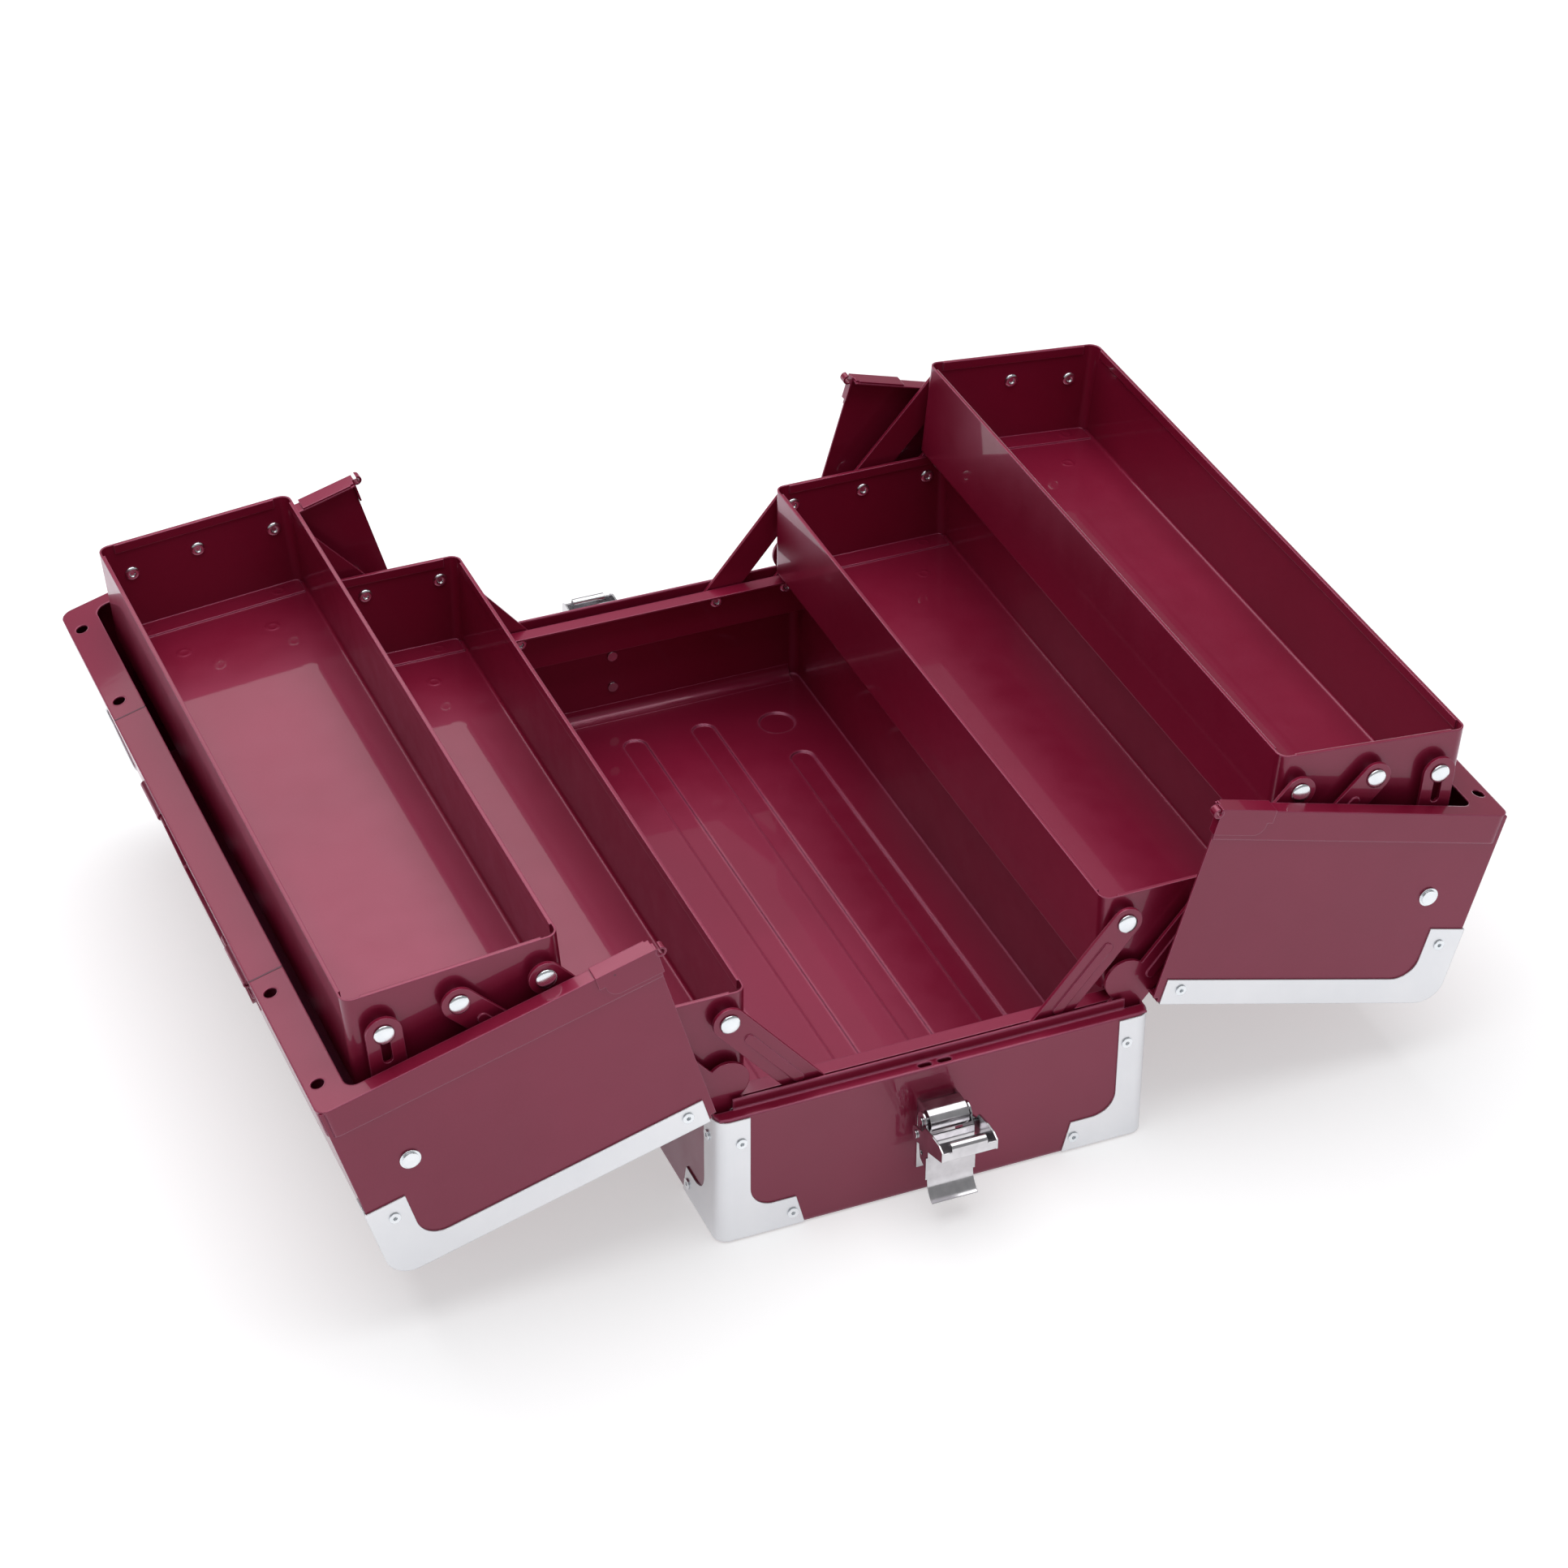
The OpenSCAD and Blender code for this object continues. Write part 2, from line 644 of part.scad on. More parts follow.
// The claw hangs outward on its pin and ends in a rolled lip
module latch_claw(far) color(bright) latch_place(far) difference() {
    w = 2 * (claw_x + latch_t);
    low = claw_front;
    high = claw_front + [0, 5.6];
    curl = high + [-2.5, 0];
    union() {
        side_pair(claw_x) {
            translate(claw_pin) circle(4.2);
            polygon([claw_pin + [0, -3.9], claw_back + [0, -0.7], low, high, high + [-4, 1.6],
                high + [-11, 1.4], [web_out + 0.6, high[1]], [web_out - 2.2, claw_pin[1] + 6.2],
                claw_pin + [0, 3.9]]);
        }
        across(w - 0.1) {
            bar(claw_back, low + [-0.5, 0.5], latch_t);
            translate(low + [-latch_t, 0.3]) square([latch_t, high[1] - low[1] - 1.3]);
        }
        across(lip_w) difference() {
            union() {
                translate(curl) circle(2.5);
                translate(high + [-latch_t, -3]) square([latch_t, 3]);
            }
            translate(curl) circle(2.5 - latch_t);
            translate(curl + [-3, -6]) square([3 + 2.5 - latch_t, 6]);
        }
    }
    across(3 * latch_w) translate(claw_pin) circle(latch_pin_d / 2 + pivot_clear);
}

// A pin across the latch with a head at each end
module cross_pin(p, half) {
    translate([0, p[0], p[1]]) rotate([0, 90, 0]) {
        cylinder(2 * half, d = latch_pin_d, center = true);
        for (s = [-1, 1]) translate([0, 0, s * (half + 0.3)]) cylinder(0.6, d = latch_pin_d + 1.6, center = true);
    }
}

module latch_pins(far) color(bright) latch_place(far) cross_pin(claw_pin, claw_x + latch_t + 0.15);

module latch_base_pins() color(bright) for (far = [0, 1]) latch_place(far) {
    cross_pin(lever_pin, ear_x + latch_t + 0.15);
    for (z = latch_rivet_z) {
        peg([0, z], -sheet - 1, sheet + latch_t + 1.2, latch_rivet_d);
        peg([0, z], latch_t + 2 * seat, 0.8, latch_rivet_d + 2.4);
        peg([0, z], -sheet - seat - 1, 1, latch_rivet_d + 1.8);
    }
}

// Lid, drawn shut: X inward is negative, Z up from the hinge
module lid_section(inset) {
    x = -hinge_out - inset;
    top = lid_h - inset;
    r = lid_r - inset;
    difference() {
        translate([-lid_w - 2 * inset, -2 * inset]) square([lid_w + 2 * inset + x, top + 2 * inset]);
        translate([x - r, top - r]) square(2 * r);
    }
    translate([x - r, top - r]) circle(r);
}

// Slots in the lid's top where the handle's straps pass
lid_slots = [-110, -25, 25, 110];

module lid() color(paint) difference() {
    lid_place() lid_shell();
    lever_relief();
}

module lid_shell() difference() {
    union() {
        difference() {
            upright(-lid_l / 2, lid_l) lid_section(0);
            upright(-lid_in_y, 2 * lid_in_y) lid_section(sheet);
            knuckle_cuts(0);
        }
        knuckles(1);
    }
    wire_bore();
    for (y = [-1, 1]) peg([hinge_out - link_in, link_up], y * lid_l / 2 - 2 * sheet, 4 * sheet, rivet_d + 2 * seat);
    for (y = lid_slots) translate([handle_in + 4 - lid_w, y, lid_h - 2 * sheet])
        linear_extrude(4 * sheet) bar([0, -2.5], [0, 2.5], 4);
}

// Channel that closes the lid's open edges along the seam
module seam_frame() color(paint) lid_place() {
    outer_l = lid_l + 2 * (frame_t + seat);
    top = lid_h + frame_t + seat;
    inner_top = lid_h - frame_w;
    inner_l = outer_l - 2 * frame_end_w;
    difference() {
        translate([-lid_w - frame_t - seat, 0, 0]) rotate([90, 0, 90])
            linear_extrude(frame_h) difference() {
                translate([0, top / 2 - case_r]) round_rect(outer_l, top + 2 * case_r, case_r);
                translate([-outer_l / 2, -4 * case_r]) square([outer_l, 4 * case_r]);
            }
        translate([-lid_w - seat, -lid_l / 2 - seat, -over]) cube([frame_h + over, lid_l + 2 * seat,
            lid_h + over + seat]);
        translate([-lid_w - frame_t - over, 0, 0]) rotate([90, 0, 90]) linear_extrude(4) difference() {
            translate([0, inner_top / 2 - case_r]) round_rect(inner_l, inner_top + 2 * case_r, case_r);
        }
        for (y = frame_holes) translate([-lid_w - frame_t - over, y, lid_h - frame_hole_drop]) rotate([0, 90, 0])
            cylinder(4, d = frame_hole_d);
    }
}

frame_holes = [for (s = [-1, 1], i = [0, 1]) s * (lid_l / 2 - frame_hole_in - i * frame_hole_pitch)];

// Catches that the latches' claws hook over, one at each end of the lid
module lid_catches() color(paint) lid_place() both_ends() {
    hook_back = frame_end_w / 2;
    y = lid_l / 2 + frame_t + 3 * seat;
    x = -lid_w - frame_t - 3 * seat;
    difference() {
        union() {
            upright(y, sheet) difference() {
                union() {
                    translate([x, 0]) square([catch_w, catch_h]);
                    translate([x, 0]) square([catch_strip_w, catch_edge_h]);
                }
                translate([x + catch_w - case_r, catch_h - case_r]) square(2 * case_r);
            }
            upright(y, sheet) translate([x + catch_w - case_r, catch_h - case_r]) circle(case_r);
            translate([x - sheet, y - frame_end_w, 0]) cube([sheet, frame_end_w + sheet, catch_edge_h]);
            translate([x - sheet, y - hook_back, -sheet - seat]) cube([catch_w + sheet, hook_back + sheet, sheet]);
            translate([x - sheet, y, -sheet - seat]) cube([catch_w + sheet, sheet, 3 * sheet]);
            upright(y - hook_back + sheet, hook_back + sheet / 2) difference() {
                translate([x + 1.2, -catch_hook_r]) circle(catch_hook_r);
                translate([x + 1.2, -catch_hook_r]) circle(catch_hook_r - sheet);
                translate([x - 4, -catch_hook_r - 0.2]) square([5.6, catch_hook_r - 0.4]);
            }
        }
        translate([x - sheet - over, y - frame_end_w - over, -sheet]) cube([2 * over, 2, 3]);
    }
}

module lid_trim_outline() {
    difference() {
        union() {
            translate([-lid_trim_w, 4]) square([lid_trim_w + trim_t - hinge_out, lid_h + trim_t - 4]);
            translate([-lid_trim_reach, lid_h - lid_trim_leg_w])
                square([lid_trim_reach, lid_trim_leg_w + trim_t]);
            translate([-lid_trim_w - trim_r, lid_h - lid_trim_leg_w - trim_r]) square([2 * trim_r, 2 * trim_r]);
        }
        translate([-lid_trim_w - trim_r, lid_h - lid_trim_leg_w - trim_r]) circle(trim_r);
        translate([-lid_trim_reach - trim_r, lid_h - lid_trim_leg_w - trim_r - over])
            square([lid_trim_reach - lid_trim_w, trim_r + over]);
        translate([-lid_trim_reach - over, lid_h - lid_trim_leg_w]) rotate(-75)
            translate([-6, -20]) square([30, 20]);
        difference() {
            translate([-lid_r, lid_h - lid_r]) square(2 * lid_r);
            translate([-hinge_out - lid_r, lid_h - lid_r]) circle(lid_r + trim_t);
        }
    }
}

lid_trim_rivets = [[-8, 13], [-34, 152]];

module lid_trims() color(silver) difference() {
    lid_place() both_ends() lid_trim();
    lever_relief();
}

module lid_trim() difference() {
    intersection() {
        upright(lid_l / 2 - lid_trim_fold, lid_trim_fold + trim_t) lid_trim_outline();
        difference() {
            upright(lid_l / 2 - 2 * lid_trim_fold, 2 * lid_trim_fold + trim_t) lid_section(-trim_t);
            upright(lid_l / 2 - 3 * lid_trim_fold, 3 * lid_trim_fold + seat) lid_section(-seat);
        }
    }
    for (p = lid_trim_rivets) peg(p, lid_l / 2 - over, 3, trim_rivet_d - 2);
}

module lid_rivets() color(silver) lid_place() both_ends() {
    for (p = lid_trim_rivets) translate([p[0], lid_l / 2 + trim_t, p[1]]) rotate([-90, 0, 0])
        hollow_rivet(trim_t - 2 * seat);
    link = [hinge_out - link_in, link_up];
    post = lever_out + 0.3;
    peg(link, post, lid_in_y - seat - post, rivet_d + 3.6);
    peg(link, lid_in_y - over, sheet + 1.2, rivet_d);
    peg(link, lid_l / 2 + seat, rivet_head_h * 0.45, rivet_head_d);
    peg(link, lid_l / 2 + seat, rivet_head_h, rivet_head_d * 0.8);
}

// Flat handle folded down on the lid's top, its ends turning under two saddles
handle_axis = [handle_in - lid_w, lid_h + handle_gap + handle_d / 2];
handle_half = (handle_l + handle_leg_w) / 2;

module handle_brackets() color(paint) lid_place() both_ends() {
    r = handle_d / 2 + pivot_clear;
    x = handle_axis[0] - handle_bracket_w / 4;
    translate([0, handle_half + handle_play, 0]) {
        upright(0, handle_bracket_l) difference() {
            union() {
                translate([x, lid_h + seat]) square([handle_bracket_w, handle_bracket_t]);
                translate(handle_axis) circle(r + handle_bracket_t);
            }
            translate(handle_axis) circle(r);
            translate([handle_axis[0] - r, lid_h - over]) square([2 * r, handle_axis[1] - lid_h + over]);
            translate([x, lid_h - handle_bracket_w]) square([handle_bracket_w, handle_bracket_w + seat]);
        }
        for (y = [0.25, 0.75]) translate([handle_axis[0] + handle_bracket_w / 2, y * handle_bracket_l, lid_h + seat])
            cylinder(2 * handle_bracket_t, d = handle_bracket_w / 4);
    }
}

// Rectangle from x0 to x1 with the corners at x1 rounded
module end_round(x0, x1, half, r) {
    translate([x0, -half]) square([x1 - r - x0, 2 * half]);
    translate([x0, r - half]) square([x1 - x0, 2 * half - 2 * r]);
    for (s = [-1, 1]) translate([x1 - r, s * (half - r)]) circle(r);
}

module handle() color(bright) lid_place() translate([handle_axis[0], 0, handle_axis[1]]) {
    translate([0, 0, -handle_t / 2]) linear_extrude(handle_t) difference() {
        end_round(0, handle_reach, handle_half, grip_w / 2);
        end_round(-over, handle_reach - grip_w, handle_half - handle_leg_w, grip_w / 4);
    }
    for (s = [0, 1]) mirror([0, s, 0]) translate([0, handle_half - handle_leg_w, 0]) rotate([-90, 0, 0])
        cylinder(handle_leg_w + handle_play + handle_bracket_l - handle_play, d = handle_d);
}

// Tray with its inner top corner at the origin, X outward
module tray_section(inset) {
    r = max(tray_fold_r - inset, 0.5);
    translate([inset, inset - tray_h + r]) square([tray_w - 2 * inset, tray_h + over]);
    translate([inset + r, inset - tray_h]) square([tray_w - 2 * inset - 2 * r, 2 * r]);
    for (x = [inset + r, tray_w - inset - r]) translate([x, inset - tray_h + r]) circle(r);
}

module tray_block(inset, top) {
    intersection() {
        translate([tray_w / 2, 0, -tray_h]) linear_extrude(tray_h + top)
            round_rect(tray_w - 2 * inset, tray_l - 2 * inset, tray_r - inset);
        upright(-tray_l / 2, tray_l) tray_section(inset);
    }
}

module tray_hem() {
    ring = tray_r + 2;
    translate([tray_w / 2, 0, -hem_h]) linear_extrude(hem_h) difference() {
        round_rect(tray_w - tray_sheet, tray_l - tray_sheet, tray_r - tray_sheet / 2);
        round_rect(tray_w - 2 * hem_t, tray_l - 2 * hem_t, tray_r - hem_t);
        for (x = [-1, 1], y = [-1, 1])
            translate([x * (tray_w / 2 - tray_sheet - ring), y * (tray_l / 2 - tray_sheet - ring)])
                difference() {
                    translate([x > 0 ? 0 : -2 * ring, y > 0 ? 0 : -2 * ring]) square(2 * ring);
                    translate([x > 0 ? ring : -3 * ring, y > 0 ? ring : -3 * ring]) square(2 * ring);
                }
    }
}

module tray(holes) color(paint) difference() {
    union() {
        difference() {
            tray_block(0, 0);
            tray_block(tray_sheet, over);
        }
        tray_hem();
        both_ends() translate([tray_fold_r, tray_end - tray_sheet - tray_flange_w, tray_sheet / 2 - tray_h])
            cube([tray_w - 2 * tray_fold_r, tray_flange_w + tray_sheet / 2, 1.5 * tray_sheet]);
    }
    both_ends() for (p = holes) peg(p, tray_end - tray_sheet - over, tray_sheet + 2 * over, rivet_d + 2 * seat);
}

module lower_place() { translate([lower_corner[0], 0, lower_corner[1]]) children(); }
module upper_place() { translate([upper_corner[0], 0, upper_corner[1]]) rotate([0, tray_tilt, 0]) children(); }

lower_holes = [for (x = [0, pivot_pitch, pivot_pitch + upper_pitch]) [t_in + x, -t_drop]];
upper_holes = [[u_in, -u_drop], [u_mid, -u_mid_drop], [u_out, -u_out_drop]];

module lower_tray() { lower_place() tray(lower_holes); }
module upper_tray() { upper_place() tray(upper_holes); }
module tray_rivets(holes) color(bright) both_ends()
    for (p = holes) pivot_rivet(p, tray_end, tray_sheet, rivet_head_d, rivet_head_h);
module lower_tray_rivets() { lower_place() tray_rivets(lower_holes); }
module upper_tray_rivets() { upper_place() tray_rivets(upper_holes); }

// Straight lever from p to q with a bead between its eyes
module lever(p, q, loose, far) color(paint) at_end(far) difference() {
    union() {
        upright(lever_y, lever_t) bar(p, q, lever_w);
        d = (q - p) / norm(q - p);
        upright(lever_y + lever_t / 2, lever_t / 2 + bead_h) bar(p + 15 * d, q - 15 * d, bead_w);
    }
    peg(p, lever_y - over, lever_t + 3 * over, rivet_d + 2 * pivot_clear);
    peg(q, lever_y - over, lever_t + 3 * over, rivet_d + 2 * (loose ? loose_clear : pivot_clear));
}

module front_lever(far) { lever(front_base, front_top, false, far); }
module upper_lever(far) { lever(upper_base, upper_top, true, far); }

module long_lever(far) color(paint) at_end(far) difference() {
    d = (long_top - long_base) / norm(long_top - long_base);
    side = [-d[1], d[0]];
    union() {
        upright(lever_y, lever_t) {
            bar(long_base, long_mid, lever_w);
            bar(long_mid, long_top, lever_w);
            translate(long_base + 17 * d + 9 * side) circle(lobe_r);
        }
        upright(lever_y + lever_t / 2, lever_t / 2 + bead_h) {
            bar(long_base + 26 * d, long_mid - 13 * d, bead_w);
            bar(long_mid + 13 * d, long_top - 15 * d, bead_w);
        }
    }
    for (p = [long_base, long_mid, long_top])
        peg(p, lever_y - over, lever_t + 3 * over, rivet_d + 2 * pivot_clear);
}

// Link between lid and upper tray: slotted at the tray, with its own rivet tail at the lid
module lid_link(far) color(paint) at_end(far) {
    d = (link_low - link_top) / norm(link_low - link_top);
    difference() {
        upright(lever_y, lever_t) difference() {
            bar(link_top, link_low, link_w);
            bar(link_top, link_top + link_slot * d, rivet_d + 2 * pivot_clear);
        }
        peg(link_low, lever_out - 0.8, 2, rivet_d);
    }
    peg(link_low, lever_y - 1, 1.5, rivet_d + 3.2);
}

base_case();
lever_bracket(0);  // lever_bracket_near
lever_bracket(1);  // lever_bracket_far
base_pivot_rivets();
hinge_wires();
base_corner_trims();
base_trim_rivets();
latch_plate(0);  // latch_plate_near
latch_plate(1);  // latch_plate_far
latch_lever(0);  // latch_lever_near
latch_lever(1);  // latch_lever_far
latch_claw(0);  // latch_claw_near
latch_claw(1);  // latch_claw_far
latch_pins(0);  // latch_pins_near
latch_pins(1);  // latch_pins_far
latch_base_pins();
at_side(1) lid();  // lid_left
at_side(0) lid();  // lid_right
at_side(1) seam_frame();  // seam_frame_left
at_side(0) seam_frame();  // seam_frame_right
at_side(1) lid_catches();  // lid_catches_left
at_side(0) lid_catches();  // lid_catches_right
at_side(1) lid_trims();  // lid_trims_left
at_side(0) lid_trims();  // lid_trims_right
at_side(1) lid_rivets();  // lid_rivets_left
at_side(0) lid_rivets();  // lid_rivets_right
at_side(1) handle_brackets();  // handle_brackets_left
at_side(0) handle_brackets();  // handle_brackets_right
at_side(1) handle();  // handle_left
at_side(0) handle();  // handle_right
at_side(1) lower_tray();  // lower_tray_left
at_side(0) lower_tray();  // lower_tray_right
at_side(1) upper_tray();  // upper_tray_left
at_side(0) upper_tray();  // upper_tray_right
at_side(1) lower_tray_rivets();  // lower_tray_rivets_left
at_side(0) lower_tray_rivets();  // lower_tray_rivets_right
at_side(1) upper_tray_rivets();  // upper_tray_rivets_left
at_side(0) upper_tray_rivets();  // upper_tray_rivets_right
at_side(1) front_lever(0);  // front_lever_left_near
at_side(1) front_lever(1);  // front_lever_left_far
at_side(0) front_lever(0);  // front_lever_right_near
at_side(0) front_lever(1);  // front_lever_right_far
at_side(1) long_lever(0);  // long_lever_left_near
at_side(1) long_lever(1);  // long_lever_left_far
at_side(0) long_lever(0);  // long_lever_right_near
at_side(0) long_lever(1);  // long_lever_right_far
at_side(1) upper_lever(0);  // upper_lever_left_near
at_side(1) upper_lever(1);  // upper_lever_left_far
at_side(0) upper_lever(0);  // upper_lever_right_near
at_side(0) upper_lever(1);  // upper_lever_right_far
at_side(1) lid_link(0);  // lid_link_left_near
at_side(1) lid_link(1);  // lid_link_left_far
at_side(0) lid_link(0);  // lid_link_right_near
at_side(0) lid_link(1);  // lid_link_right_far
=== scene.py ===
"""The looks of the open cantilever tool box: paint, metals, rivets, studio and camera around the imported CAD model."""
import math

import bpy
from mathutils import Matrix, Vector


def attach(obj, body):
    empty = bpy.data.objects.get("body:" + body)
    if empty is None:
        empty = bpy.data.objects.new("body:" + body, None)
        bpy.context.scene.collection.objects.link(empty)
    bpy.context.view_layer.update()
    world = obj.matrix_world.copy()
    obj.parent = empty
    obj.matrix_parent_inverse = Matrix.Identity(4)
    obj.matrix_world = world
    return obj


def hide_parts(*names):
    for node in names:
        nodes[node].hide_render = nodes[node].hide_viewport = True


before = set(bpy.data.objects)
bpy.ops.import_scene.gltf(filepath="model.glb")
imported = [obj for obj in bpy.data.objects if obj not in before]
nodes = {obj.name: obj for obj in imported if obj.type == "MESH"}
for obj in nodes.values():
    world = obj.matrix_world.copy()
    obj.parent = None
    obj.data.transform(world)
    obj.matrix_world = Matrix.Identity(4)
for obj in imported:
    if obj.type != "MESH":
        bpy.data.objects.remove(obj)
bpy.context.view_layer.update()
MM = 0.001
SIDES = ((1, "right"), (-1, "left"))


# ---------------------------------------------------------------- camera
# Fitted to the corners of the case, the trays and the lids in the photograph; places in metres
LENS, SENSOR, CLIP_END = 99.249, 36.0, 20.0
CAMERA_PLACE = (-0.67502, -1.63440, 1.33712)
CAMERA_FORWARD = (0.31705, 0.75414, -0.57511)
CAMERA_ROLL = math.radians(0.344)


def make_camera():
    data = bpy.data.cameras.new("camera")
    data.sensor_width = SENSOR
    data.lens = LENS
    data.clip_end = CLIP_END
    cam = bpy.data.objects.new("camera", data)
    bpy.context.scene.collection.objects.link(cam)
    forward = Vector(CAMERA_FORWARD).normalized()
    level = forward.cross(Vector((0, 0, 1))).normalized()
    upright = level.cross(forward)
    right = level * math.cos(CAMERA_ROLL) + upright * math.sin(CAMERA_ROLL)
    up = upright * math.cos(CAMERA_ROLL) - level * math.sin(CAMERA_ROLL)
    turn = Matrix((right, up, -forward)).transposed().to_4x4()
    cam.matrix_world = Matrix.Translation(CAMERA_PLACE) @ turn
    bpy.context.scene.camera = cam


make_camera()
bpy.context.scene.view_settings.view_transform = "Standard"


# ---------------------------------------------------------------- shader helpers
NOISE_LOW, NOISE_HIGH = 0.3, 0.7        # what a noise texture mostly stays between
EDGE_START, EDGE_FULL = 0.995, 0.80     # cosines between the rounded and the true normal
BEVEL_SAMPLES = 6


def srgb(r, g, b):
    def lin(v):
        v /= 255
        return v / 12.92 if v <= 0.04045 else ((v + 0.055) / 1.055) ** 2.4
    return (lin(r), lin(g), lin(b), 1.0)


class Shade:
    """A material's node tree with short calls for the nodes used here. Lengths are in metres."""

    def __init__(self, name):
        self.mat = bpy.data.materials.new(name)
        self.mat.use_nodes = True
        self.tree = self.mat.node_tree
        self.out = self.tree.nodes["Material Output"]
        self.bsdf = self.tree.nodes["Principled BSDF"]
        self.object = self.node("ShaderNodeTexCoord").outputs["Object"]

    def put(self, socket, value):
        if isinstance(value, bpy.types.NodeSocket):
            self.tree.links.new(value, socket)
        else:
            socket.default_value = value

    def node(self, kind, inputs=None, **fields):
        n = self.tree.nodes.new(kind)
        for k, v in fields.items():
            setattr(n, k, v)
        for k, v in (inputs or {}).items():
            self.put(n.inputs[k], v)
        return n

    def scaled(self, scale):
        return self.node("ShaderNodeMapping", {"Vector": self.object, "Scale": scale}).outputs[0]

    def noise(self, scale, detail=2.0, vector=None):
        return self.node("ShaderNodeTexNoise", {"Vector": vector or self.object, "Scale": scale,
                                                "Detail": detail, "Roughness": 0.5}).outputs["Fac"]

    def remap(self, value, a, b, c, d, smooth=False):
        """value from a..b to c..d, held at both ends."""
        return self.node("ShaderNodeMapRange", {0: value, 1: a, 2: b, 3: c, 4: d},
                         interpolation_type="SMOOTHSTEP" if smooth else "LINEAR").outputs[0]

    def spread(self, value, low, high, noises=1):
        """A noise, or the sum of several, spread over low..high."""
        return self.remap(value, noises * NOISE_LOW, noises * NOISE_HIGH, low, high)

    def math(self, how, a, b=0.0):
        return self.node("ShaderNodeMath", {0: a, 1: b}, operation=how).outputs[0]

    def vector_math(self, how, a, b=(0.0, 0.0, 0.0)):
        return self.node("ShaderNodeVectorMath", {0: a, 1: b}, operation=how).outputs["Value"]

    def mix(self, factor, a, b):
        # the colour sockets of a Mix node are its inputs 6 and 7 and its output 2
        return self.node("ShaderNodeMix", {0: factor, 6: a, 7: b}, data_type="RGBA").outputs[2]

    def bevel(self, radius):
        return self.node("ShaderNodeBevel", {"Radius": radius}, samples=BEVEL_SAMPLES).outputs[0]

    def edge(self, rounded):
        """1 on a fold or rim, 0 on flat sheet."""
        true = self.node("ShaderNodeNewGeometry").outputs["True Normal"]
        return self.remap(self.vector_math("DOT_PRODUCT", rounded, true), EDGE_START, EDGE_FULL, 0.0, 1.0)

    def bump(self, height, distance, strength, normal):
        return self.node("ShaderNodeBump", {"Height": height, "Distance": distance, "Strength": strength,
                                            "Normal": normal}).outputs[0]

    def finish(self, links, **values):
        """Sets the Principled shader's sockets: links by socket, values by name with _ for a space."""
        for k, v in {**links, **values}.items():
            self.put(self.bsdf.inputs[k.replace("_", " ")], v)
        return self.mat


# ---------------------------------------------------------------- paint
WINE = srgb(142, 24, 57)
WINE_DEEP = srgb(132, 20, 50)
# painted highlight: a light pink that folds and rims are mixed towards, standing in for the light their rounded edges
# catch
WINE_EDGE_HIGHLIGHT = srgb(200, 98, 132)
SPECK = srgb(60, 10, 20)
SEAM = srgb(46, 8, 18)
EDGE_HIGHLIGHT_SHARE, SPECK_SHARE, SEAM_SHARE = 0.7, 0.6, 0.75
SPECK_CELLS, SPECK_RARITY = 38.0, 0.90
ORANGE_PEEL = (0.00012, 0.09)           # distance and strength of the lacquer's bump
PRESSED = (0.00035, 0.8)                # of the dimples and seams


def dimple(s, place):
    """A spot weld's shallow ring in the sheet, around a place in mm."""
    d = s.vector_math("DISTANCE", s.object, [c * MM for c in place])
    return s.math("SUBTRACT", s.remap(d, 0.0045, 0.0022, 0.0, 1.0, True), s.remap(d, 0.0030, 0.0008, 0.0, 0.8, True))


def paint(name, radius=0.0007, spots=(), seams=()):
    """Wine lacquer with a little pearl in it. spots are weld dimples, and seams the joints across a frame by their y,
    in mm. radius rounds the sheet's edges and folds, in metres."""
    s = Shade(name)
    rounded = s.bevel(radius)
    broad = s.spread(s.noise(9.0, 3.0), 0.0, 1.0)
    pearl = s.spread(s.noise(1400.0, 1.0), -0.22, 0.22)
    colour = s.mix(s.math("ADD", broad, pearl), WINE_DEEP, WINE)
    # painted highlight along folds and rims, as strong as the rounded normal turns away from the true one
    colour = s.mix(s.math("MULTIPLY", s.edge(rounded), EDGE_HIGHLIGHT_SHARE), colour, WINE_EDGE_HIGHLIGHT)

    # a few specks of dust under the lacquer
    cells = s.node("ShaderNodeTexVoronoi", {"Vector": s.object, "Scale": SPECK_CELLS})
    draw = s.node("ShaderNodeSeparateColor", {0: cells.outputs["Color"]}).outputs[0]
    speck = s.math("MULTIPLY", s.remap(cells.outputs["Distance"], 0.018, 0.030, 1.0, 0.0),
                   s.math("GREATER_THAN", draw, SPECK_RARITY))
    colour = s.mix(s.math("MULTIPLY", speck, SPECK_SHARE), colour, SPECK)
    height = s.math("ADD", s.math("MULTIPLY", s.noise(160.0), 0.5), s.math("MULTIPLY", speck, 0.6))
    normal = s.bump(height, *ORANGE_PEEL, rounded)

    pressed = [dimple(s, place) for place in spots]
    if seams:
        y = s.node("ShaderNodeSeparateXYZ", {0: s.object}).outputs[1]
        for at in seams:
            off = s.math("ABSOLUTE", s.math("SUBTRACT", y, at * MM))
            gap = s.remap(off, 0.0003, 0.0008, 1.0, 0.0, True)
            colour = s.mix(s.math("MULTIPLY", gap, SEAM_SHARE), colour, SEAM)
            pressed.append(s.math("MULTIPLY", gap, -1.0))
    if pressed:
        marks = pressed[0]
        for mark in pressed[1:]:
            marks = s.math("ADD", marks, mark)
        normal = s.bump(marks, *PRESSED, normal)
    return s.finish({"Base Color": colour, "Roughness": s.spread(s.noise(60.0, 3.0), 0.30, 0.38),
                     "Normal": normal, "Coat Normal": normal},
                    Metallic=0.22, Specular_IOR_Level=0.5, Specular_Tint=(1.0, 0.62, 1.0, 1.0),
                    Coat_Weight=0.5, Coat_Roughness=0.04, Coat_IOR=1.55)


